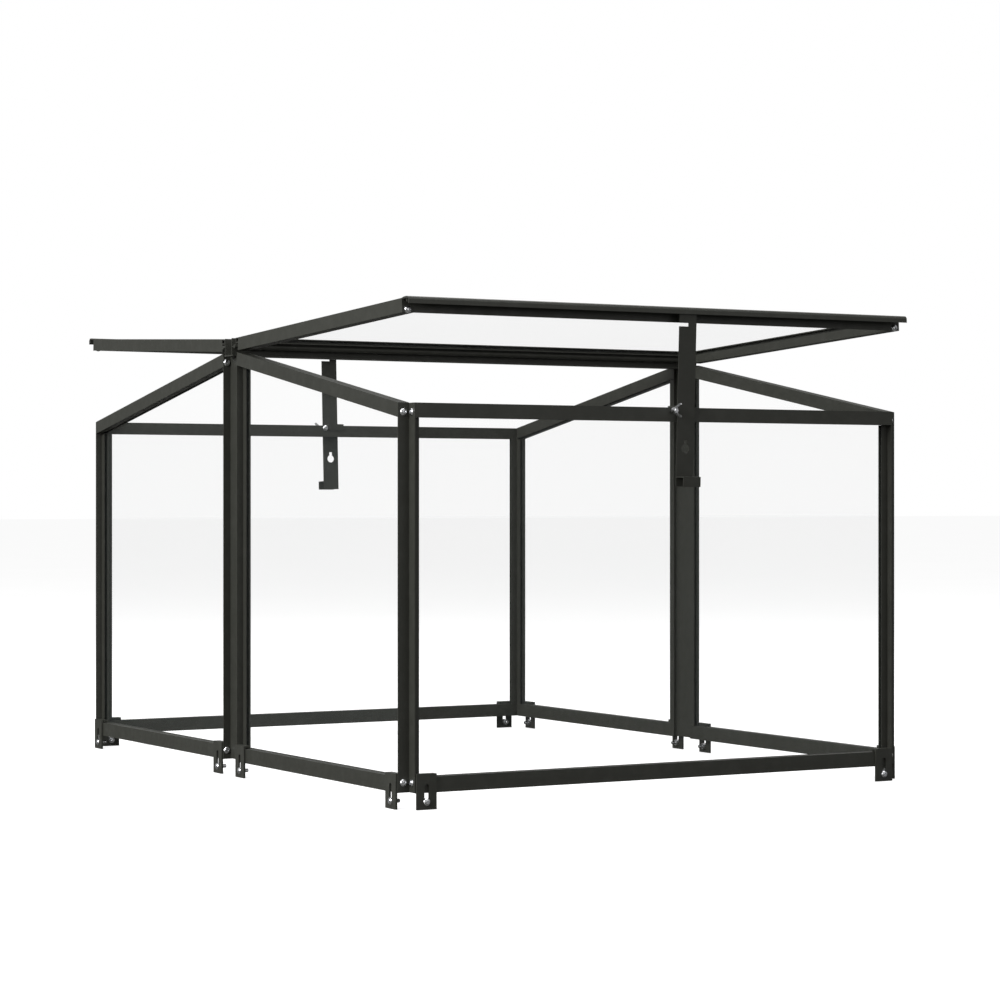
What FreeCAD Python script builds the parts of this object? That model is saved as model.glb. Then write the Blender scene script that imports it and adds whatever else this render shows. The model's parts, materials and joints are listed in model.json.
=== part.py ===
import FreeCAD, Part
import math
import os

import Sketcher
from FreeCAD import Placement, Rotation, Vector

# Cold frame with a shallow gable roof. The ridge runs along X, the front is -Y, Z is up.
# Origin at the centre of the footprint, Z = 0 at the lower ends of the anchor clips.
# Lids are drawn propped open; their hinge axes are the round beads on the ridge beam.

os.makedirs("parts", exist_ok=True)
doc = FreeCAD.newDocument("ColdFrame")
sheet = doc.addObject("Spreadsheet::Sheet", "Dims")

DIMS = [
    ("half_length", 467.0), ("half_width", 627.0), ("rail_depth", 20.0), ("wall", 1.6),
    ("post_wall_in", 18.4), ("post_foot", 26.0), ("post_head", 611.0),
    ("ridge_half", 28.0), ("ridge_head", 707.3),
    ("flange_front", 11.3), ("slot_front", 12.8), ("slot_back", 18.2), ("slot_depth", 10.0),
    ("lip_reach", 12.0), ("web_back", 14.3), ("pane_front", 13.5), ("pane_thick", 4.0),
    ("base_low", 25.0), ("base_high", 24.0), ("eave_high", 22.0),
    ("rafter_high", 21.6), ("rafter_line", 717.9), ("roof_angle", 9.95),
    ("cut_gap", 0.3), ("void_top", 9.5),
    ("screw_in", 9.0), ("ridge_screw_in", 6.0), ("screw_low", 40.0), ("screw_eave", 597.0),
    ("screw_ridge", 698.0), ("screw_rad", 3.0), ("screw_fit", 3.05), ("screw_clear", 3.3),
    ("screw_depth", 14.0), ("screw_reach", 13.6), ("head_rad", 5.7), ("head_high", 3.2),
    ("beam_half", 470.0), ("beam_wide", 14.25), ("beam_low", 707.5), ("beam_top", 737.5),
    ("beam_floor", 2.0), ("beam_foot", 17.0),
    ("hinge_out", 23.0), ("hinge_up", 723.0), ("bead_rad", 3.0), ("arm_thick", 1.4),
    ("hook_in", 3.3), ("hook_out", 5.0), ("lid_angle", 2.86),
    ("lid_top", 14.5), ("lid_low", -7.0), ("lid_slot_top", 12.8), ("lid_slot_low", 7.4),
    ("lid_lip_low", 5.8), ("lid_start", 10.0), ("lid_side", 20.0), ("nose_out", 599.0),
    ("drip_out", 620.4), ("drip_low", 4.5), ("hang_out", 614.2), ("hang_up", 9.0),
    ("hang_rad", 1.6), ("hang_arm", 1.2), ("lid_screw_up", -2.0), ("lid_screw_in", 10.0),
    ("lug_screw_in", 12.0), ("lid_pane_low", 8.1),
    ("stay_edge", 18.7), ("stay_wide", 32.3), ("stay_lean", 2.3), ("stay_near", 1.8),
    ("stay_far", 3.3), ("stay_foot", 276.6), ("stay_web", 260.6), ("stay_hook", 24.8),
    ("curl_in", 1.9), ("notch_top", 16.6), ("notch_low", 23.6), ("notch_deep", 17.5),
    ("key_low", 216.6), ("key_rad", 7.2), ("key_top", 203.6), ("key_half", 3.15),
    ("key_mid", 35.0),
    ("clip_thick", 3.0), ("clip_wide", 34.0), ("clip_top", 54.0), ("clip_corner", 20.5),
    ("clip_over", 9.0), ("clip_tab", 6.0), ("clip_web", 51.0), ("clip_bite", 49.2),
    ("clip_slot_low", 7.5), ("clip_slot_top", 38.7), ("clip_slot_half", 4.0),
    ("anchor_up", 11.5), ("anchor_reach", 12.5), ("nut_half", 5.0), ("nut_high", 5.0),
    ("stud_along", 12.5), ("stud_up", 606.0), ("stud_clear", 3.15), ("stud_reach", 33.0),
    ("saddle_top", 614.0), ("saddle_thick", 1.6), ("saddle_in", 22.0), ("saddle_low", 602.0),
    ("saddle_lip", 0.8),
]


class Size:
    """A number together with the sheet expression that gives it."""

    def __init__(self, value, text):
        self.value, self.text = value, text

    def _join(self, other, sign, swap=False):
        a, b = (size(other), self) if swap else (self, size(other))
        v = {"+": a.value + b.value, "-": a.value - b.value, "*": a.value * b.value}[sign]
        return Size(v, "(%s %s %s)" % (a.text, sign, b.text))

    def __add__(self, o):
        return self._join(o, "+")

    def __radd__(self, o):
        return self._join(o, "+", True)

    def __sub__(self, o):
        return self._join(o, "-")

    def __rsub__(self, o):
        return self._join(o, "-", True)

    def __mul__(self, o):
        return self._join(o, "*")

    def __rmul__(self, o):
        return self._join(o, "*", True)

    def __neg__(self):
        return Size(-self.value, "(-1 * %s)" % self.text)


def size(x):
    return x if isinstance(x, Size) else Size(float(x), "%.6f" % x if x >= 0 else "(%.6f)" % x)


S = {}
for row, (alias, value) in enumerate(DIMS, 1):
    sheet.set("A%d" % row, alias)
    sheet.set("B%d" % row, "%g" % value)
    sheet.setAlias("B%d" % row, alias)
    S[alias] = Size(value, "Dims.%s" % alias)
doc.recompute()
N = {k: float(sheet.get(k)) for k, _ in DIMS}

half_l, half_w, depth, wall = S["half_length"], S["half_width"], S["rail_depth"], S["wall"]
tan_roof = math.tan(math.radians(N["roof_angle"]))
cos_roof, sin_roof = math.cos(math.radians(N["roof_angle"])), math.sin(math.radians(N["roof_angle"]))
TAN = Size(tan_roof, "tan(Dims.roof_angle * 1deg)")


# ---------------------------------------------------------------- helpers
def origin_plane(body, role):
    for f in body.Origin.OriginFeatures:
        if f.Role == role:
            return f
    raise RuntimeError(role)


def new_body(label):
    body = doc.addObject("PartDesign::Body", label)
    body.Label = label
    return body


def sketch(body, name, role="XY_Plane", at=None):
    sk = body.newObject("Sketcher::SketchObject", name)
    sk.AttachmentSupport = (origin_plane(body, role), [""])
    sk.MapMode = "FlatFace"
    if isinstance(at, Placement):
        sk.AttachmentOffset = at
    elif at is not None:
        at = size(at)
        sk.AttachmentOffset = Placement(Vector(0, 0, at.value), Rotation())
        sk.setExpression("AttachmentOffset.Base.z", at.text)
    return sk


def fix(sk, geo, pos, x, y):
    for kind, q in (("DistanceX", size(x)), ("DistanceY", size(y))):
        i = sk.addConstraint(Sketcher.Constraint(kind, -1, 1, geo, pos, q.value))
        sk.setExpression("Constraints[%d]" % i, q.text)


def outline(sk, pts):
    n0, n = sk.GeometryCount, len(pts)
    at = [Vector(size(x).value, size(y).value, 0) for x, y in pts]
    for i in range(n):
        sk.addGeometry(Part.LineSegment(at[i], at[(i + 1) % n]), False)
    for i in range(n):
        sk.addConstraint(Sketcher.Constraint("Coincident", n0 + i, 2, n0 + (i + 1) % n, 1))
    for i, (x, y) in enumerate(pts):
        fix(sk, n0 + i, 1, x, y)


def box(sk, x0, x1, y0, y1):
    outline(sk, [(x0, y0), (x1, y0), (x1, y1), (x0, y1)])


def circle(sk, x, y, r):
    g = sk.addGeometry(Part.Circle(Vector(size(x).value, size(y).value, 0), Vector(0, 0, 1), size(r).value), False)
    fix(sk, g, 3, x, y)
    i = sk.addConstraint(Sketcher.Constraint("Radius", g, size(r).value))
    sk.setExpression("Constraints[%d]" % i, size(r).text)


def both_ways(feature):
    if hasattr(feature, "SideType"):
        feature.SideType = "Symmetric"
    else:
        feature.Midplane = True


def pad(body, sk, length, middle=False, name="Pad"):
    f = body.newObject("PartDesign::Pad", name)
    f.Profile = sk
    length = size(length)
    f.Length = length.value
    f.setExpression("Length", length.text)
    if middle:
        both_ways(f)
    return f


def pocket(body, sk, length, name="Pocket"):
    """A cut of this total length, half each side of its sketch."""
    f = body.newObject("PartDesign::Pocket", name)
    f.Profile = sk
    length = size(length)
    f.Length = length.value
    f.setExpression("Length", length.text)
    both_ways(f)
    return f


def axes(x, y):
    """Rotation that takes local X and Y to these global directions."""
    x, y = Vector(*x), Vector(*y)
    z = x.cross(y)
    m = FreeCAD.Matrix(x.x, y.x, z.x, 0, x.y, y.y, z.y, 0, x.z, y.z, z.z, 0, 0, 0, 0, 1)
    return Rotation(m)


def put(body, base, rotation):
    base = [size(q) for q in base]
    body.Placement = Placement(Vector(*[q.value for q in base]), rotation)
    for k, q in zip("xyz", base):
        body.setExpression("Placement.Base." + k, q.text)


# ---------------------------------------------------------------- posts
def rail_section(sk, high):
    """Hollow rail: x is the depth in from the outer face, y runs from the closed edge to the slot edge."""
    sf, sb, sd = S["slot_front"], S["slot_back"], S["slot_depth"]
    outline(sk, [(0, 0), (depth, 0), (depth, high), (sb, high), (sb, high - sd), (sf, high - sd), (sf, high), (0, high)])
    box(sk, wall, depth - wall, wall, S["void_top"])


def corner_post(label, sx, sy):
    body = new_body(label)
    w = S["post_wall_in"]
    sk = sketch(body, "Walls", at=S["post_foot"])
    outline(sk, [(0, w), (w, w), (w, 0), (depth, 0), (depth, depth), (0, depth)])
    pad(body, sk, S["post_head"] - S["post_foot"])
    # glazing channels, cut back where the rails butt on the walls
    low = S["base_low"] + S["base_high"] + S["cut_gap"]
    top = S["post_head"] - S["eave_high"] - S["cut_gap"]
    sk = sketch(body, "Channels", at=low)
    out = depth + S["lip_reach"]
    box(sk, S["flange_front"], S["slot_front"], depth, out)
    box(sk, S["slot_back"], depth, depth, out)
    box(sk, depth, out, S["flange_front"], S["slot_front"])
    box(sk, depth, out, S["slot_back"], depth)
    pad(body, sk, top - low)
    for role in ("XZ_Plane", "YZ_Plane"):
        sk = sketch(body, "Holes" + role[:2], role)
        circle(sk, S["screw_in"], S["screw_low"], S["screw_clear"])
        circle(sk, S["screw_in"], S["screw_eave"], S["screw_clear"])
        pocket(body, sk, 100)
    turn = {(-1, -1): 0, (1, -1): 90, (1, 1): 180, (-1, 1): 270}[(sx, sy)]
    put(body, (half_l * sx, half_w * sy, 0), Rotation(Vector(0, 0, 1), turn))
    return body


def ridge_post(label, sx):
    body = new_body(label)
    r = S["ridge_half"]
    sk = sketch(body, "Section", at=S["post_foot"])
    sf, wb = S["slot_front"], S["web_back"]
    outline(sk, [(0, -r), (depth, -r), (depth, -(r - wall)), (wb, -(r - wall)), (wb, r - wall), (depth, r - wall),
                 (depth, r), (0, r), (0, r - wall), (sf, r - wall), (sf, -(r - wall)), (0, -(r - wall))])
    pad(body, sk, S["ridge_head"] - S["post_foot"])
    low = S["base_low"] + S["base_high"] + S["cut_gap"]
    sk = sketch(body, "Channels", at=low)
    out = r + S["lip_reach"]
    for a, b in ((S["flange_front"], sf), (S["slot_back"], depth)):
        box(sk, a, b, r, out)
        box(sk, a, b, -out, -r)
    pad(body, sk, Size(688.5, "688.5") - low)
    sk = sketch(body, "Holes", "XZ_Plane")
    circle(sk, S["ridge_screw_in"], S["screw_low"], S["screw_clear"])
    circle(sk, S["ridge_screw_in"], S["screw_ridge"], S["screw_clear"])
    pocket(body, sk, 100)
    put(body, (half_l * sx, 0, 0), Rotation(Vector(0, 0, 1), 0 if sx < 0 else 180))
    return body


for sx, nx in ((-1, "left"), (1, "right")):
    for sy, ny in ((-1, "front"), (1, "rear")):
        corner_post("corner_post_%s_%s" % (ny, nx), sx, sy)
    ridge_post("ridge_post_" + nx, sx)


# ---------------------------------------------------------------- base and eave rails
def drill_ends(body, length, first, last, up):
    """Screw ports in both ends: depth positions first (z = 0 end) and last."""
    sk = sketch(body, "PortStart")
    circle(sk, first, up, S["screw_fit"])
    pocket(body, sk, S["screw_depth"] * 2)
    sk = sketch(body, "PortEnd", at=length)
    circle(sk, last, up, S["screw_fit"])
    pocket(body, sk, S["screw_depth"] * 2)


def rail(label, high, length, base, rotation, first, last, up):
    body = new_body(label)
    sk = sketch(body, "Section")
    rail_section(sk, high)
    pad(body, sk, length)
    drill_ends(body, length, first, last, up)
    put(body, base, rotation)
    return body


long_run = (half_l - depth) * 2
port = S["screw_low"] - S["base_low"]
c_in, r_in = S["screw_in"], S["ridge_screw_in"]
rail("base_rail_front", S["base_high"], long_run, (-(half_l - depth), -half_w, S["base_low"]),
     axes((0, 1, 0), (0, 0, 1)), c_in, c_in, port)
rail("base_rail_rear", S["base_high"], long_run, (half_l - depth, half_w, S["base_low"]),
     axes((0, -1, 0), (0, 0, 1)), c_in, c_in, port)
gable_run = half_w - depth - S["ridge_half"]
# local Z runs toward -Y on the left gable and toward +Y on the right gable
rail("base_rail_left_front", S["base_high"], gable_run, (-half_l, -S["ridge_half"], S["base_low"]),
     axes((1, 0, 0), (0, 0, 1)), r_in, c_in, port)
rail("base_rail_left_rear", S["base_high"], gable_run, (-half_l, half_w - depth, S["base_low"]),
     axes((1, 0, 0), (0, 0, 1)), c_in, r_in, port)
rail("base_rail_right_front", S["base_high"], gable_run, (half_l, -(half_w - depth), S["base_low"]),
     axes((-1, 0, 0), (0, 0, 1)), c_in, r_in, port)
rail("base_rail_right_rear", S["base_high"], gable_run, (half_l, S["ridge_half"], S["base_low"]),
     axes((-1, 0, 0), (0, 0, 1)), r_in, c_in, port)


def eave_rail(label, sy):
    """Slot faces down; a stud hole crosses it for the stay."""
    body = rail(label, S["eave_high"], long_run, ((half_l - depth) * -sy, half_w * sy, S["post_head"]),
                axes((0, -sy, 0), (0, 0, -1)), c_in, c_in, S["post_head"] - S["screw_eave"])
    sk = sketch(body, "StudHole", "YZ_Plane")
    # local Z starts at the +X end for the front rail and at the -X end for the rear rail
    along = (half_l - depth) - S["stud_along"] if sy < 0 else (half_l - depth) + S["stud_along"]
    circle(sk, S["post_head"] - S["stud_up"], along, S["stud_clear"])
    pocket(body, sk, 100)
    return body


eave_rail("eave_rail_front", -1)
eave_rail("eave_rail_rear", 1)


# ---------------------------------------------------------------- rafters
def rafter(label, sx, sy):
    """Sloping rail with plumb-cut ends; its slot faces down."""
    body = new_body(label)
    high = S["rafter_high"]
    run = Size((gable_run.value) / cos_roof, "(%s / cos(Dims.roof_angle * 1deg))" % gable_run.text)
    # +1: local Z runs from the eave up to the ridge
    up = 1 if sx * sy > 0 else -1
    sk = sketch(body, "Section", at=-(high * TAN + 4))
    rail_section(sk, high)
    pad(body, sk, run + (high * TAN + 4) * 2)
    t = TAN * -up
    sk = sketch(body, "PlumbStart", "YZ_Plane")
    far = -(high * TAN + 8)
    outline(sk, [(-1, far), (high + 1, far), (high + 1, (high + 1) * t), (-1, t * -1)])
    pocket(body, sk, 60)
    sk = sketch(body, "PlumbEnd", "YZ_Plane")
    far = run + high * TAN + 8
    outline(sk, [(-1, run + t * -1), (high + 1, run + (high + 1) * t), (high + 1, far), (-1, far)])
    pocket(body, sk, 60)
    # horizontal screw ports: heights measured square to the top line
    eave_top = N["rafter_line"] - tan_roof * (N["half_width"] - N["rail_depth"])
    ridge_top = N["rafter_line"] - tan_roof * N["ridge_half"]
    ends = [(N["screw_in"], (eave_top - N["screw_eave"]) * cos_roof),
            (N["ridge_screw_in"], (ridge_top - N["screw_ridge"]) * cos_roof)]
    if up < 0:
        ends.reverse()
    for k, (x, y) in enumerate(ends):
        z = (0 if k == 0 else run.value) - up * y * tan_roof
        sk = sketch(body, "Port%d" % k, at=Placement(Vector(0, y, z), Rotation(Vector(1, 0, 0), -up * N["roof_angle"])))
        circle(sk, size(x), 0, S["screw_fit"])
        pocket(body, sk, S["screw_depth"] * 2)
    down = (0, -sy * sin_roof, -cos_roof)
    start_y = (N["half_width"] - N["rail_depth"]) if up > 0 else N["ridge_half"]
    base = (half_l * sx, size(start_y * sy), size(N["rafter_line"] - tan_roof * start_y))
    put(body, base, axes((-sx, 0, 0), down))
    return body


for sx, nx in ((-1, "left"), (1, "right")):
    for sy, ny in ((-1, "front"), (1, "rear")):
        rafter("rafter_%s_%s" % (nx, ny), sx, sy)

# ---------------------------------------------------------------- ridge beam
beam = new_body("ridge_beam")
bw, bl, bt, bf = S["beam_wide"], S["beam_low"], S["beam_top"], S["beam_foot"]
sk = sketch(beam, "Channel", "YZ_Plane")
fl = bl + S["beam_floor"]
outline(sk, [(-bf, bl), (bf, bl), (bf, fl), (bw, fl), (bw, bt), (bw - wall, bt), (bw - wall, fl),
             (-(bw - wall), fl), (-(bw - wall), bt), (-bw, bt), (-bw, fl), (-bf, fl)])
pad(beam, sk, S["beam_half"] * 2, True)
ho, hu, at2 = S["hinge_out"], S["hinge_up"], S["arm_thick"] * 0.5
sk = sketch(beam, "Arms", "YZ_Plane")
for s in (-1, 1):
    box(sk, (bw - 0.5) * s, (ho - 2) * s, hu - at2, hu + at2)
pad(beam, sk, S["beam_half"] * 2, True)
sk = sketch(beam, "Beads", "YZ_Plane")
for s in (-1, 1):
    circle(sk, ho * s, hu, S["bead_rad"])
pad(beam, sk, S["beam_half"] * 2, True)


# ---------------------------------------------------------------- wall panes
def pane_box(label, sy):
    body = new_body(label)
    sk = sketch(body, "Sheet", "XZ_Plane")
    half = half_l - depth - 1
    low = S["base_low"] + S["base_high"] - S["slot_depth"] + 0.5
    top = S["post_head"] - S["eave_high"] + S["slot_depth"] - 0.5
    box(sk, -half, half, low, top)
    pad(body, sk, S["pane_thick"], True)
    put(body, (0, (half_w - S["pane_front"] - S["pane_thick"] * 0.5) * sy, 0), Rotation())


def pane_gable(label, sx, sy):
    body = new_body(label)
    sk = sketch(body, "Sheet", "YZ_Plane")
    a, b = S["ridge_half"] + 1, half_w - depth - 1
    low = S["base_low"] + S["base_high"] - S["slot_depth"] + 0.5
    drop = Size((N["rafter_high"] - N["slot_depth"] + 0.5) / cos_roof,
                "((Dims.rafter_high - Dims.slot_depth + 0.5) / cos(Dims.roof_angle * 1deg))")
    line = S["rafter_line"] - drop
    outline(sk, [(a * sy, low), (b * sy, low), (b * sy, line - b * TAN), (a * sy, line - a * TAN)])
    pad(body, sk, S["pane_thick"], True)
    put(body, ((half_l - S["pane_front"] - S["pane_thick"] * 0.5) * sx, 0, 0), Rotation())


pane_box("pane_front", -1)
pane_box("pane_rear", 1)
for sx, nx in ((-1, "left"), (1, "right")):
    for sy, ny in ((-1, "front"), (1, "rear")):
        pane_gable("pane_%s_%s" % (nx, ny), sx, sy)


# ---------------------------------------------------------------- lids
# Lid frame: X = outward along the lid, Y = square to it, Z = along the ridge, origin on the hinge axis.
def lid_turn(sy):
    b = math.radians(N["lid_angle"])
    return axes((0, sy * math.cos(b), math.sin(b)), (0, -sy * math.sin(b), math.cos(b)))


def put_lid(body, sy):
    put(body, (0, S["hinge_out"] * sy, S["hinge_up"]), lid_turn(sy))


def lid(sy, side):
    top, low = S["lid_top"], S["lid_low"]
    st, sl, ll = S["lid_slot_top"], S["lid_slot_low"], S["lid_lip_low"]
    start, width = S["lid_start"], S["lid_side"]
    near = half_l - width - S["cut_gap"]
    web_in = S["nose_out"] - wall
    pre = "lid_%s_" % side
    # hinge rail: glazing channel over a hook that wraps the bead
    body = new_body(pre + "hinge_rail")
    sk = sketch(body, "Hook")
    circle(sk, 0, 0, S["hook_out"])
    circle(sk, 0, 0, S["hook_in"])
    pad(body, sk, near * 2, True)
    sk = sketch(body, "Mouth")
    outline(sk, [(0, 0), (-9, 5.2), (-9, -6.3)])
    pocket(body, sk, half_l * 2 + 20)
    sk = sketch(body, "Channel")
    outline(sk, [(0, top), (0, 4), (2.4, 4), (2.4, ll), (start, ll), (start, sl), (wall, sl), (wall, st),
                 (start, st), (start, top)])
    pad(body, sk, half_l * 2, True)
    for s in (-1, 1):
        mid = half_l - width * 0.5
        sk = sketch(body, "Lug%d" % (s + 1), at=mid * s)
        box(sk, start - wall, start, low, sl - 0.8)
        pad(body, sk, width, True)
    sk = sketch(body, "LugHoles", "YZ_Plane")
    for s in (-1, 1):
        circle(sk, S["lid_screw_up"] - 0.5, (half_l - S["lug_screw_in"]) * s, S["screw_clear"])
    pocket(body, sk, start * 2 + 6)
    put_lid(body, sy)
    # side rails: hollow, slot facing the pane, solid strip for the screws
    for s in (-1, 1):
        word = "left" if s * sy < 0 else "right"
        body = new_body(pre + "side_rail_" + word)
        sk = sketch(body, "Section", "YZ_Plane", at=start)
        o, i, f = half_l * s, (half_l - width) * s, (half_l - S["slot_depth"]) * s
        outline(sk, [(top, o), (low, o), (low, i), (sl, i), (sl, f), (st, f), (st, i), (top, i)])
        box(sk, low + wall, top - wall, (half_l - wall) * s, (half_l - 5.5) * s)
        pad(body, sk, web_in - start)
        for k, (u, h) in enumerate(((start, S["lug_screw_in"]), (web_in, S["lid_screw_in"]))):
            sk = sketch(body, "Port%d" % k, "YZ_Plane", at=u)
            circle(sk, S["lid_screw_up"] - 0.5, (half_l - h) * s, S["screw_fit"])
            pocket(body, sk, S["screw_depth"] * 2)
        put_lid(body, sy)
    # nose bar: web, drip lip hollow below, hanger bead for the stay, glazing channel
    body = new_body(pre + "nose_bar")
    no, do, dl = S["nose_out"], S["drip_out"], S["drip_low"]
    sk = sketch(body, "Web")
    outline(sk, [(web_in, low), (no, low), (no, top - wall), (do - wall - 2, top - wall), (do - wall, top - wall - 2),
                 (do - wall, dl), (do, dl), (do, top - 3.5), (do - 1.2, top - 0.8), (do - 3.6, top + 0.9), (do - 7, top + 1.4),
                 (no + 6, top + 1.4), (no + 2, top + 0.6), (web_in, top)])
    pad(body, sk, half_l * 2, True)
    hu2, hv, ha = S["hang_out"], S["hang_up"], S["hang_arm"] * 0.5
    sk = sketch(body, "HangerArm")
    box(sk, hu2 - ha, hu2 + ha, hv + 1, top - 1)
    pad(body, sk, half_l * 2, True)
    sk = sketch(body, "HangerBead")
    circle(sk, hu2, hv, S["hang_rad"])
    pad(body, sk, half_l * 2, True)
    sk = sketch(body, "PaneChannel")
    box(sk, no - S["lip_reach"] - wall, web_in, st, top)
    box(sk, no - S["lip_reach"] - wall, web_in, ll, sl)
    pad(body, sk, near * 2, True)
    sk = sketch(body, "WebHoles", "YZ_Plane", at=no)
    for s in (-1, 1):
        circle(sk, S["lid_screw_up"] - 0.5, (half_l - S["lid_screw_in"]) * s, S["screw_clear"])
    pocket(body, sk, 8)
    put_lid(body, sy)
    # pane
    body = new_body(pre + "pane")
    sk = sketch(body, "Sheet")
    box(sk, wall + 1, web_in - 0.5, S["lid_pane_low"], S["lid_pane_low"] + S["pane_thick"])
    pad(body, sk, (half_l - S["slot_depth"] - 0.5) * 2, True)
    put_lid(body, sy)


lid(-1, "front")
lid(1, "rear")


# ---------------------------------------------------------------- stays
def stay_pivot(sy):
    b = math.radians(N["lid_angle"])
    u, w = N["hang_out"], N["hang_up"]
    return (0, sy * (N["hinge_out"] + u * math.cos(b) - w * math.sin(b)), N["hinge_up"] + u * math.sin(b) + w * math.cos(b))


def stay(label, sy):
    """Flat bar curled over the hanger bead at the top, with a hook over the rail at the foot."""
    body = new_body(label)
    near, far, foot, web = S["stay_near"], S["stay_far"], S["stay_foot"], S["stay_web"]
    wide, edge, hook = S["stay_wide"], S["stay_edge"], S["stay_hook"]
    t = far - near
    mid = (edge + wide * 0.5) * sy
    sk = sketch(body, "Curl", at=mid)
    circle(sk, 0, 0, far)
    circle(sk, 0, 0, S["curl_in"])
    pad(body, sk, wide, True)
    sk = sketch(body, "CurlMouth", at=mid)
    outline(sk, [(0, 0), (3.2, 4.6), (0, 5.2), (-3.2, 4.6)])
    pocket(body, sk, wide + 10)
    sk = sketch(body, "Profile", at=mid)
    outline(sk, [(near + 0.15, 0), (far, 0), (far, -web), (hook, -web), (hook, -foot), (hook - t, -foot),
                 (hook - t, -(web + t)), (far, -(web + t)), (far, -foot), (near + 0.15, -foot)])
    pad(body, sk, wide, True)
    sk = sketch(body, "Notch", "YZ_Plane", at=near)
    box(sk, -S["notch_low"], -S["notch_top"], (edge - 5) * sy, (edge + S["notch_deep"]) * sy)
    pocket(body, sk, 12)
    sk = sketch(body, "KeyHole", "YZ_Plane", at=near)
    circle(sk, -S["key_low"], S["key_mid"] * sy, S["key_rad"])
    pocket(body, sk, 12)
    sk = sketch(body, "KeySlot", "YZ_Plane", at=near)
    box(sk, -S["key_low"], -S["key_top"], (S["key_mid"] - S["key_half"]) * sy, (S["key_mid"] + S["key_half"]) * sy)
    pocket(body, sk, 12)
    lean = math.radians(N["stay_lean"])
    x = (0, sy * math.cos(lean), -math.sin(lean))
    y = (0, sy * math.sin(lean), math.cos(lean))
    px, py, pz = stay_pivot(sy)
    put(body, (px, py, pz), axes(x, y))


stay("stay_front", -1)
stay("stay_rear", 1)


# ---------------------------------------------------------------- saddles over the eave rails behind the stays
def saddle(label, sy):
    body = new_body(label)
    sk = sketch(body, "Profile")
    top, th, inn, low, lip = S["saddle_top"], S["saddle_thick"], S["saddle_in"], S["saddle_low"], S["saddle_lip"]
    g = S["cut_gap"]
    outline(sk, [(-lip, low + 4), (0, low + 4), (0, S["post_head"]), (inn - th, S["post_head"]), (inn - th, low),
                 (inn, low), (inn, top), (-lip, top)])
    pad(body, sk, S["stay_wide"], True)
    put(body, (S["stay_edge"] + S["stay_wide"] * 0.5, half_w * sy, 0), axes((0, -sy, 0), (0, 0, 1)))


saddle("stay_saddle_front", -1)
saddle("stay_saddle_rear", 1)


# ---------------------------------------------------------------- anchor clips
def clip(sx, sy, along, face):
    """Flat clip hooked over a base rail. face is x or y, along is its centre along the rail."""
    th = N["clip_thick"]
    pts = [(-th, 0), (0, 0), (0, N["clip_web"]), (N["clip_tab"], N["clip_web"]), (N["clip_tab"], N["clip_bite"]),
           (N["clip_over"], N["clip_bite"]), (N["clip_over"], N["clip_top"]), (-th, N["clip_top"]), (-th, 0)]
    f = Part.Face(Part.makePolygon([Vector(d, 0, z) for d, z in pts]))
    s = f.extrude(Vector(0, N["clip_wide"], 0))
    s.translate(Vector(0, -N["clip_wide"] / 2, 0))
    r, lo, hi = N["clip_slot_half"], N["clip_slot_low"] + N["clip_slot_half"], N["clip_slot_top"] - N["clip_slot_half"]
    cut = Part.makeBox(10, 2 * r, hi - lo, Vector(-5, -r, lo))
    for z in (lo, hi):
        cut = cut.fuse(Part.makeCylinder(r, 10, Vector(-5, 0, z), Vector(1, 0, 0)))
    s = s.cut(cut.removeSplitter())
    corners = [e for e in s.Edges if abs(e.BoundBox.ZMax) < 1e-6 and e.BoundBox.XLength > 2 and e.BoundBox.YLength < 1e-6]
    s = s.makeFillet(0.8, corners)
    # local X is the depth into the frame
    if face == "x":
        s.Placement = Placement(Vector(sx * N["half_length"], along, 0), Rotation(Vector(0, 0, 1), 0 if sx < 0 else 180))
    else:
        s.Placement = Placement(Vector(along, sy * N["half_width"], 0), Rotation(Vector(0, 0, 1), 90 if sy < 0 else -90))
    return s


def group(label, shapes):
    obj = doc.addObject("Part::Feature", label)
    obj.Label = label
    obj.Shape = Part.makeCompound(shapes)
    obj.Placement = Placement()
    return obj


corner_mid = N["clip_corner"] + N["clip_wide"] / 2
near_ridge = N["ridge_half"] + N["clip_wide"] / 2
long_spots = [-(N["half_length"] - corner_mid), N["half_length"] - corner_mid]
gable_spots = [-(N["half_width"] - corner_mid), -near_ridge, near_ridge, N["half_width"] - corner_mid]
anchor_spots = []
for side, sy in (("front", -1), ("rear", 1)):
    group("anchor_clips_" + side, [clip(0, sy, a, "y") for a in long_spots])
    anchor_spots += [(Vector(a, sy * N["half_width"], N["anchor_up"]), Vector(0, -sy, 0)) for a in long_spots]
for side, sx in (("left", -1), ("right", 1)):
    group("anchor_clips_" + side, [clip(sx, 0, a, "x") for a in gable_spots])
    anchor_spots += [(Vector(sx * N["half_length"], a, N["anchor_up"]), Vector(-sx, 0, 0)) for a in gable_spots]


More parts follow.
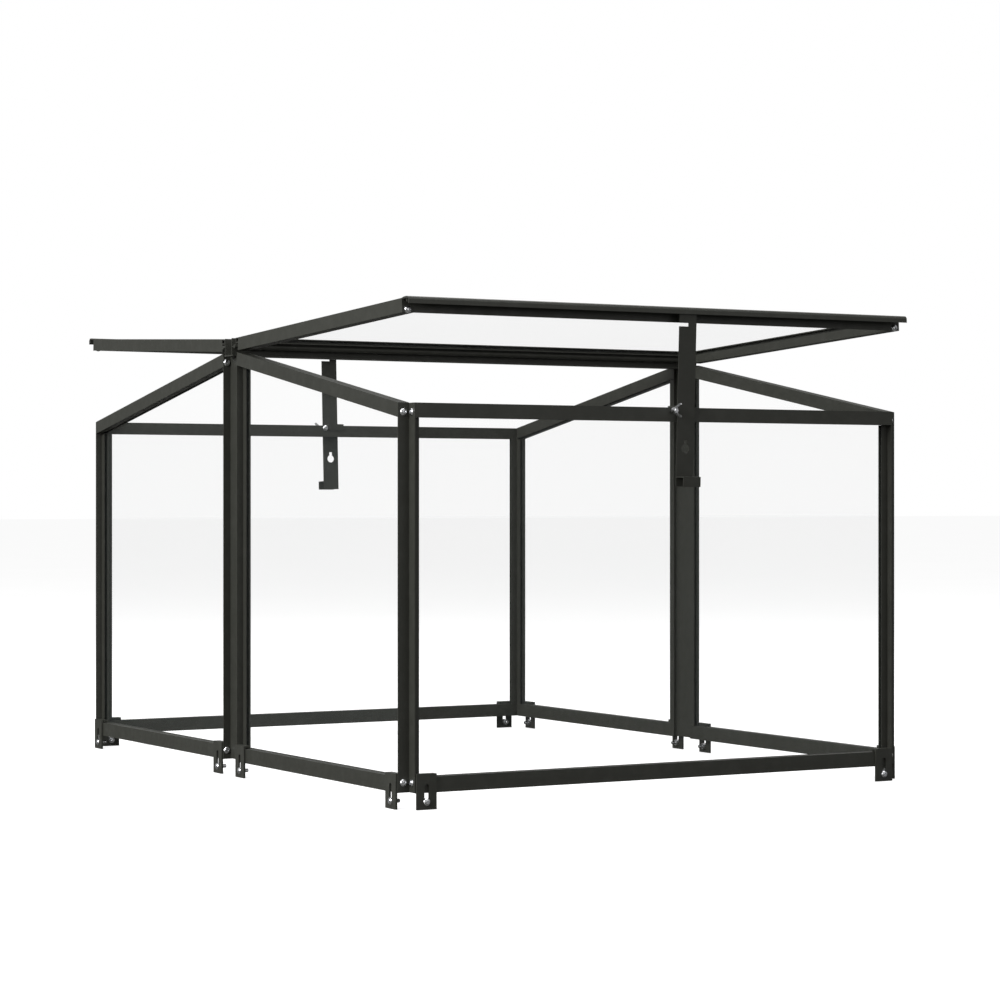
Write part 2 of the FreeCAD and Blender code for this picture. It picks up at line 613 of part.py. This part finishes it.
# ---------------------------------------------------------------- fasteners
def screw(seat, way, reach, rad=None, head=None, high=None):
    """Button-head screw: the head stands on the seat point, the shank goes along way."""
    rad, head, high = rad or N["screw_rad"], head or N["head_rad"], high or N["head_high"]
    rim = high * 0.3
    arc = Part.Arc(Vector(-head, 0, -rim), Vector(-head * 0.72, 0, -high * 0.82), Vector(-head * 0.35, 0, -high)).toShape()
    pts = [Vector(0, 0, 0), Vector(-head, 0, 0), Vector(-head, 0, -rim)]
    w = Part.Wire([Part.makeLine(pts[0], pts[1]), Part.makeLine(pts[1], pts[2]), arc,
                   Part.makeLine(Vector(-head * 0.35, 0, -high), Vector(0, 0, -high)),
                   Part.makeLine(Vector(0, 0, -high), pts[0])])
    s = Part.Face(w).revolve(Vector(0, 0, 0), Vector(0, 0, 1), 360)
    shank = Part.makeCylinder(rad, reach - 0.6).fuse(Part.makeCone(rad, rad - 0.5, 0.6, Vector(0, 0, reach - 0.6)))
    s = s.fuse(shank).removeSplitter()
    hexa = [Vector(2.3 * math.cos(math.radians(60 * k)), 2.3 * math.sin(math.radians(60 * k)), -high - 1) for k in range(7)]
    s = s.cut(Part.Face(Part.makePolygon(hexa)).extrude(Vector(0, 0, 1 + high * 0.6)))
    s.Placement = Placement(seat, Rotation(Vector(0, 0, 1), way))
    return s


def nut(seat, way, rad=None):
    """Hexagon nut standing on the seat point."""
    af, high = N["nut_half"], N["nut_high"]
    c = af / math.cos(math.radians(30))
    hexa = [Vector(c * math.cos(math.radians(60 * k)), c * math.sin(math.radians(60 * k)), 0) for k in range(7)]
    s = Part.Face(Part.makePolygon(hexa)).extrude(Vector(0, 0, high))
    s = s.common(Part.makeCone(c + 1.2, c - 0.4, high))
    s = s.cut(Part.makeCylinder(rad or N["screw_fit"], high + 2, Vector(0, 0, -1)))
    s.Placement = Placement(seat, Rotation(Vector(0, 0, 1), way))
    return s


hl, hw, win = N["half_length"], N["half_width"], N["post_wall_in"]
corner_screws, ridge_screws = [], []
for sx in (-1, 1):
    for sy in (-1, 1):
        for z in (N["screw_low"], N["screw_eave"]):
            corner_screws.append(screw(Vector(sx * (hl - N["screw_in"]), sy * (hw - win), z), Vector(0, -sy, 0), N["screw_reach"]))
            corner_screws.append(screw(Vector(sx * (hl - win), sy * (hw - N["screw_in"]), z), Vector(-sx, 0, 0), N["screw_reach"]))
        for z in (N["screw_low"], N["screw_ridge"]):
            ridge_screws.append(screw(Vector(sx * (hl - N["ridge_screw_in"]), sy * (N["ridge_half"] - N["wall"]), z),
                                      Vector(0, sy, 0), N["screw_reach"]))
group("corner_post_screws", corner_screws)
group("ridge_post_screws", ridge_screws)

th = N["clip_thick"]
group("anchor_bolts", [screw(p - w * th, w, th + N["anchor_reach"]) for p, w in anchor_spots])
group("anchor_nuts", [nut(p, w) for p, w in anchor_spots])

for sy, side in ((-1, "front"), (1, "rear")):
    turn = lid_turn(sy)
    base = Vector(0, sy * N["hinge_out"], N["hinge_up"])
    out = turn.multVec(Vector(1, 0, 0))
    spots = []
    for s in (-1, 1):
        up = N["lid_screw_up"] - 0.5
        nose = base + turn.multVec(Vector(N["nose_out"], up, s * (hl - N["lid_screw_in"])))
        lug = base + turn.multVec(Vector(N["lid_start"] - N["wall"], up, s * (hl - N["lug_screw_in"])))
        spots.append(screw(nose, out * -1, N["screw_reach"]))
        spots.append(screw(lug, out, N["screw_reach"], head=4.4, high=2.8))
    group("lid_%s_screws" % side, spots)
    # stud through the eave rail with its head inside, and the wing nut outside
    seat = Vector(N["stud_along"], sy * (hw - N["rail_depth"]), N["stud_up"])
    way = Vector(0, sy, 0)
    stud = group("stay_stud_" + side, [screw(seat, way, N["stud_reach"])])
    hub = Part.makeCone(4.8, 4.0, 8.0)
    wings = None
    for s in (-1, 1):
        pts = [(2.5, 1.5), (4.5, 2.5), (7.0, 9.0), (11.4, 19.0), (11.0, 21.5), (8.8, 22.0), (6.8, 18.0), (3.6, 9.5), (2.5, 7.5),
               (2.5, 1.5)]
        f = Part.Face(Part.makePolygon([Vector(s * a, -1.2, b) for a, b in pts]))
        hub = hub.fuse(f.extrude(Vector(0, 2.4, 0)))
    hub = hub.removeSplitter().cut(Part.makeCylinder(N["screw_fit"], 30, Vector(0, 0, -5)))
    wing = doc.addObject("Part::Feature", "wing_nut_" + side)
    wing.Label = "wing_nut_" + side
    wing.Shape = hub
    # wings stand up and down
    wing.Placement = Placement(Vector(N["stud_along"], sy * (hw + 4.0), N["stud_up"]),
                               axes((0, 0, 1), (sy, 0, 0)))

# ---------------------------------------------------------------- checks and export
doc.recompute()
for obj in doc.Objects:
    if "Invalid" in obj.State or "Error" in obj.State:
        raise RuntimeError("%s: %s" % (obj.Label, obj.State))
pieces = [o for o in doc.Objects if o.TypeId in ("PartDesign::Body", "Part::Feature")]
for obj in pieces:
    if obj.Shape.isNull() or not obj.Shape.isValid():
        raise RuntimeError("bad shape: " + obj.Label)
for old in os.listdir("parts"):
    if old.endswith(".step"):
        os.remove(os.path.join("parts", old))
for obj in pieces:
    obj.Shape.exportStep("parts/%s.step" % obj.Label)
    b = obj.Shape.BoundBox
    print("%-30s solids %2d  volume %10.0f  x %7.1f %7.1f  y %7.1f %7.1f  z %6.1f %6.1f" % (
        obj.Label, len(obj.Shape.Solids), obj.Shape.Volume, b.XMin, b.XMax, b.YMin, b.YMax, b.ZMin, b.ZMax))
print(len(pieces), "pieces")
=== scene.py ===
import json
import math

import bpy
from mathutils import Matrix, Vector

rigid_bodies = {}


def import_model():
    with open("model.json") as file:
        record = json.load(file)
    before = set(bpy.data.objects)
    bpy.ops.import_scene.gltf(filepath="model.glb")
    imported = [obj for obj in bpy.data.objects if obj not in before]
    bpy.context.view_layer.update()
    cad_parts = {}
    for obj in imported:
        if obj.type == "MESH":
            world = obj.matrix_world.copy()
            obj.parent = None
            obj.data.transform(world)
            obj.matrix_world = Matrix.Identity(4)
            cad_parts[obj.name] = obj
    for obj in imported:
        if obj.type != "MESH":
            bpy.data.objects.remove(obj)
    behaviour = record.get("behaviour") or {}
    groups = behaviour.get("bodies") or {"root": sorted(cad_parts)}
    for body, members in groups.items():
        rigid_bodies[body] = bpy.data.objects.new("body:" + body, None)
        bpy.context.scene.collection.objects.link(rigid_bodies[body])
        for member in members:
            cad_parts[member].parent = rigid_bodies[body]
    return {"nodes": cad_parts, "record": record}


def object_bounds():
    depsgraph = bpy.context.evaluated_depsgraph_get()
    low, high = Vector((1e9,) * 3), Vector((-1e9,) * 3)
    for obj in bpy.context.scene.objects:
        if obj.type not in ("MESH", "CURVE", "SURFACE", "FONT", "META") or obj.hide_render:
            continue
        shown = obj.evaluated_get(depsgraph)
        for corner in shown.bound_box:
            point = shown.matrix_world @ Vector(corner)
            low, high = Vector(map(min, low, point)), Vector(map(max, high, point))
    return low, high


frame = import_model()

cad_box = [list(v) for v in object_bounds()]
scene = bpy.context.scene
nodes = frame["nodes"]


# ------------------------------------------------------------------ material helpers
def new_material(name):
    m = bpy.data.materials.new(name)
    m.use_nodes = True
    nt = m.node_tree
    nt.nodes.clear()
    out = nt.nodes.new("ShaderNodeOutputMaterial")
    return m, nt, out


def add(nt, kind, **inputs):
    n = nt.nodes.new(kind)
    for k, v in inputs.items():
        k = k.replace("_", " ")
        n.inputs[k].default_value = v
    return n


def noise(nt, coord, scale, detail=3.0, rough=0.55):
    n = add(nt, "ShaderNodeTexNoise", Scale=scale, Detail=detail, Roughness=rough)
    nt.links.new(coord, n.inputs["Vector"])
    return n.outputs["Fac"]


def remap(nt, value, lo, hi, a, b):
    n = nt.nodes.new("ShaderNodeMapRange")
    for k, v in (("From Min", lo), ("From Max", hi), ("To Min", a), ("To Max", b)):
        n.inputs[k].default_value = v
    nt.links.new(value, n.inputs["Value"])
    return n.outputs["Result"]


def mix_colour(nt, fac, a, b):
    n = nt.nodes.new("ShaderNodeMix")
    n.data_type = "RGBA"
    n.clamp_factor = True
    nt.links.new(fac, n.inputs[0])
    for sock, v in ((n.inputs[6], a), (n.inputs[7], b)):
        if isinstance(v, tuple):
            sock.default_value = (*v, 1.0)
        else:
            nt.links.new(v, sock)
    return n.outputs[2]


def object_coord(nt, stretch=(1.0, 1.0, 1.0)):
    t = nt.nodes.new("ShaderNodeTexCoord")
    m = nt.nodes.new("ShaderNodeMapping")
    m.inputs["Scale"].default_value = stretch
    nt.links.new(t.outputs["Object"], m.inputs["Vector"])
    return m.outputs["Vector"]


# ------------------------------------------------------------------ powder coat
def powder_coat(name, seed, tone=1.0):
    m, nt, out = new_material(name)
    bsdf = add(nt, "ShaderNodeBsdfPrincipled")
    co = object_coord(nt)
    shift = nt.nodes.new("ShaderNodeVectorMath")
    shift.operation = "ADD"
    shift.inputs[1].default_value = (seed * 1.7, seed * 0.9, seed * 2.3)
    nt.links.new(co, shift.inputs[0])
    p = shift.outputs[0]
    # slow drift in the coat, then a fine speckle of pigment
    drift = remap(nt, noise(nt, p, 6.0, 4.0), 0.3, 0.7, 0.0, 1.0)
    base = mix_colour(nt, drift, tuple(c * tone for c in (0.0362, 0.0374, 0.0308)),
                      tuple(c * tone for c in (0.0388, 0.0400, 0.0332)))
    speck = remap(nt, noise(nt, p, 900.0, 2.0), 0.62, 0.76, 0.0, 0.55)
    base = mix_colour(nt, speck, base, tuple(c * tone for c in (0.060, 0.061, 0.052)))
    # rubbed edges that are partly a painted highlight where light catches the rounded edges, and a thin
    # film of dust in patches
    geo = nt.nodes.new("ShaderNodeNewGeometry")
    edge_wear_and_highlight_mask = remap(nt, geo.outputs["Pointiness"], 0.53, 0.62, 0.0, 1.0)
    rub_and_highlight = nt.nodes.new("ShaderNodeMath")
    rub_and_highlight.operation = "MULTIPLY"
    nt.links.new(edge_wear_and_highlight_mask, rub_and_highlight.inputs[0])
    nt.links.new(remap(nt, noise(nt, p, 45.0, 5.0), 0.45, 0.65, 0.0, 0.10), rub_and_highlight.inputs[1])
    # lighten convex edges: part rubbed coat, part painted highlight of light on the rounded edges
    base = mix_colour(nt, rub_and_highlight.outputs[0], base, (0.105, 0.105, 0.095))
    dust = remap(nt, noise(nt, p, 22.0, 6.0, 0.7), 0.56, 0.80, 0.0, 0.07)
    base = mix_colour(nt, dust, base, (0.068, 0.067, 0.056))
    nt.links.new(base, bsdf.inputs["Base Color"])
    # satin roughness that varies a little, with orange-peel relief
    nt.links.new(remap(nt, noise(nt, p, 70.0, 4.0), 0.3, 0.7, 0.40, 0.54), bsdf.inputs["Roughness"])
    bsdf.inputs["Specular IOR Level"].default_value = 0.42
    peel = noise(nt, p, 1300.0, 2.0, 0.5)
    wave = noise(nt, p, 260.0, 2.0, 0.5)
    both = nt.nodes.new("ShaderNodeMath")
    both.operation = "ADD"
    nt.links.new(peel, both.inputs[0])
    nt.links.new(wave, both.inputs[1])
    bump = add(nt, "ShaderNodeBump", Strength=0.22, Distance=0.00012)
    nt.links.new(both.outputs[0], bump.inputs["Height"])
    nt.links.new(bump.outputs["Normal"], bsdf.inputs["Normal"])
    nt.links.new(bsdf.outputs["BSDF"], out.inputs["Surface"])
    return m


# ------------------------------------------------------------------ clear glazing
def glazing(name, seed):
    m, nt, out = new_material(name)
    co = object_coord(nt)
    shift = nt.nodes.new("ShaderNodeVectorMath")
    shift.operation = "ADD"
    shift.inputs[1].default_value = (seed * 3.1, seed * 1.3, seed * 0.7)
    nt.links.new(co, shift.inputs[0])
    p = shift.outputs[0]
    bsdf = add(nt, "ShaderNodeBsdfPrincipled")
    haze = remap(nt, noise(nt, p, 3.0, 5.0, 0.6), 0.35, 0.75, 0.0, 1.0)
    nt.links.new(mix_colour(nt, haze, (0.30, 0.34, 0.33), (0.37, 0.40, 0.39)), bsdf.inputs["Base Color"])
    nt.links.new(remap(nt, noise(nt, p, 14.0, 6.0, 0.65), 0.3, 0.8, 0.015, 0.07), bsdf.inputs["Roughness"])
    bsdf.inputs["IOR"].default_value = 1.5
    bsdf.inputs["Specular IOR Level"].default_value = 0.5
    # nearly clear face on, more reflective at a glancing angle, faint water marks
    lw = add(nt, "ShaderNodeLayerWeight", Blend=0.5)
    power = nt.nodes.new("ShaderNodeMath")
    power.operation = "POWER"
    power.inputs[1].default_value = 5.0
    nt.links.new(lw.outputs["Facing"], power.inputs[0])
    glance = remap(nt, power.outputs[0], 0.0, 1.0, 0.022, 0.08)
    marks = remap(nt, noise(nt, p, 38.0, 7.0, 0.75), 0.60, 0.80, 0.0, 0.02)
    total = nt.nodes.new("ShaderNodeMath")
    total.operation = "ADD"
    nt.links.new(glance, total.inputs[0])
    nt.links.new(marks, total.inputs[1])
    nt.links.new(total.outputs[0], bsdf.inputs["Alpha"])
    wave = noise(nt, p, 5.0, 2.0)
    bump = add(nt, "ShaderNodeBump", Strength=0.04, Distance=0.0004)
    nt.links.new(wave, bump.inputs["Height"])
    nt.links.new(bump.outputs["Normal"], bsdf.inputs["Normal"])
    nt.links.new(bsdf.outputs["BSDF"], out.inputs["Surface"])
    m.surface_render_method = "BLENDED"
    return m


# ------------------------------------------------------------------ bright zinc on the fasteners
def zinc(name, seed):
    m, nt, out = new_material(name)
    bsdf = add(nt, "ShaderNodeBsdfPrincipled")
    co = object_coord(nt)
    shift = nt.nodes.new("ShaderNodeVectorMath")
    shift.operation = "ADD"
    shift.inputs[1].default_value = (seed * 2.1, seed * 0.4, seed * 1.9)
    nt.links.new(co, shift.inputs[0])
    p = shift.outputs[0]
    tone = remap(nt, noise(nt, p, 240.0, 4.0), 0.3, 0.7, 0.0, 1.0)
    base = mix_colour(nt, tone, (0.76, 0.77, 0.79), (0.92, 0.93, 0.95))
    dull = remap(nt, noise(nt, p, 700.0, 5.0, 0.7), 0.58, 0.75, 0.0, 0.45)
    base = mix_colour(nt, dull, base, (0.42, 0.41, 0.38))
    nt.links.new(base, bsdf.inputs["Base Color"])
    bsdf.inputs["Metallic"].default_value = 1.0
    nt.links.new(remap(nt, noise(nt, p, 420.0, 4.0), 0.3, 0.7, 0.16, 0.32), bsdf.inputs["Roughness"])
    bump = add(nt, "ShaderNodeBump", Strength=0.18, Distance=0.00008)
    nt.links.new(noise(nt, p, 1800.0, 2.0), bump.inputs["Height"])
    nt.links.new(bump.outputs["Normal"], bsdf.inputs["Normal"])
    nt.links.new(bsdf.outputs["BSDF"], out.inputs["Surface"])
    return m


slots = {s["node"]: s["material_slot"] for s in frame["record"]["subparts"]}
coats = [powder_coat("powder_coat_%d" % i, i, t) for i, t in enumerate((1.0, 0.95, 1.05))]
glasses = [glazing("glazing_%d" % i, i) for i in range(2)]
zincs = [zinc("zinc_%d" % i, i) for i in range(2)]
for i, name in enumerate(sorted(nodes)):
    kind = slots.get(name)
    pick = {"glazing": glasses, "zinc": zincs}.get(kind, coats)
    ob = nodes[name]
    for target in [ob] + list(ob.children_recursive):
        if target.type != "MESH":
            continue
        mat = pick[i % len(pick)]
        if not target.material_slots:
            target.data.materials.append(mat)
        for s in target.material_slots:
            s.material = mat

# ------------------------------------------------------------------ floor
def floor_material():
    m, nt, out = new_material("floor_pale")
    co = object_coord(nt)
    fine = remap(nt, noise(nt, co, 1.4, 3.0), 0.3, 0.7, 0.0, 1.0)
    shown = nt.nodes.new("ShaderNodeBsdfDiffuse")
    nt.links.new(mix_colour(nt, fine, (0.50, 0.50, 0.50), (0.54, 0.54, 0.54)), shown.inputs["Color"])
    glow = nt.nodes.new("ShaderNodeEmission")
    glow.inputs["Strength"].default_value = FLOOR_GLOW
    lit = nt.nodes.new("ShaderNodeAddShader")
    nt.links.new(shown.outputs[0], lit.inputs[0])
    nt.links.new(glow.outputs[0], lit.inputs[1])
    # a dim bounce keeps the undersides of the frame dark
    dim = nt.nodes.new("ShaderNodeBsdfDiffuse")
    dim.inputs["Color"].default_value = (0.12, 0.12, 0.115, 1.0)
    path = nt.nodes.new("ShaderNodeLightPath")
    mix = nt.nodes.new("ShaderNodeMixShader")
    nt.links.new(path.outputs["Is Camera Ray"], mix.inputs[0])
    nt.links.new(dim.outputs[0], mix.inputs[1])
    nt.links.new(lit.outputs[0], mix.inputs[2])
    nt.links.new(mix.outputs[0], out.inputs["Surface"])
    return m


FLOOR_GLOW = 0.80
mesh = bpy.data.meshes.new("floor")
r = 60.0
mesh.from_pydata([(-r, -r, 0), (r, -r, 0), (r, r, 0), (-r, r, 0)], [], [(0, 1, 2, 3)])
floor = bpy.data.objects.new("floor", mesh)
scene.collection.objects.link(floor)
floor.location.z = cad_box[0][2] - 0.0004
mesh.materials.append(floor_material())

# ------------------------------------------------------------------ studio light
world = scene.world or bpy.data.worlds.new("studio")
scene.world = world
world.use_nodes = True
wn = world.node_tree
wn.nodes.clear()
wout = wn.nodes.new("ShaderNodeOutputWorld")
seen = wn.nodes.new("ShaderNodeBackground")
seen.inputs["Color"].default_value = (1, 1, 1, 1)
seen.inputs["Strength"].default_value = 1.0
light = wn.nodes.new("ShaderNodeBackground")
light.inputs["Color"].default_value = (1, 1, 1, 1)
light.inputs["Strength"].default_value = 0.30
wpath = wn.nodes.new("ShaderNodeLightPath")
wmix = wn.nodes.new("ShaderNodeMixShader")
wn.links.new(wpath.outputs["Is Camera Ray"], wmix.inputs[0])
wn.links.new(light.outputs[0], wmix.inputs[1])
wn.links.new(seen.outputs[0], wmix.inputs[2])
wn.links.new(wmix.outputs[0], wout.inputs["Surface"])


def area(name, at, to, size, power, tint=(1, 1, 1)):
    d = bpy.data.lights.new(name, "AREA")
    d.shape = "RECTANGLE"
    d.size, d.size_y = size
    d.energy = power
    d.color = tint
    o = bpy.data.objects.new(name, d)
    scene.collection.objects.link(o)
    o.location = at
    v = [b - a for a, b in zip(at, to)]
    o.rotation_euler = (math.atan2(math.hypot(v[0], v[1]), -v[2]), 0, math.atan2(v[1], v[0]) - math.pi / 2)
    return o


area("key_left", (-5.5, -1.2, 2.6), (0, 0, 0.4), (4.0, 3.0), 318)
area("fill_front", (1.5, -6.0, 2.2), (0, 0, 0.4), (4.0, 2.5), 18)
area("top_soft", (0, 0, 5.0), (0, 0, 0), (5.0, 5.0), 215)

# ------------------------------------------------------------------ camera
cam = bpy.data.cameras.new("camera")
cam.sensor_width = 36.0
cam.lens = 100.55
cam.clip_end = 200.0
cam_ob = bpy.data.objects.new("camera", cam)
scene.collection.objects.link(cam_ob)
cam_ob.location = (-2.4208, -4.3181, 0.4648)
cam_ob.rotation_euler = (math.radians(90), 0, math.radians(-29.866))
scene.camera = cam_ob
scene.view_settings.view_transform = "Standard"
scene.view_settings.look = "None"
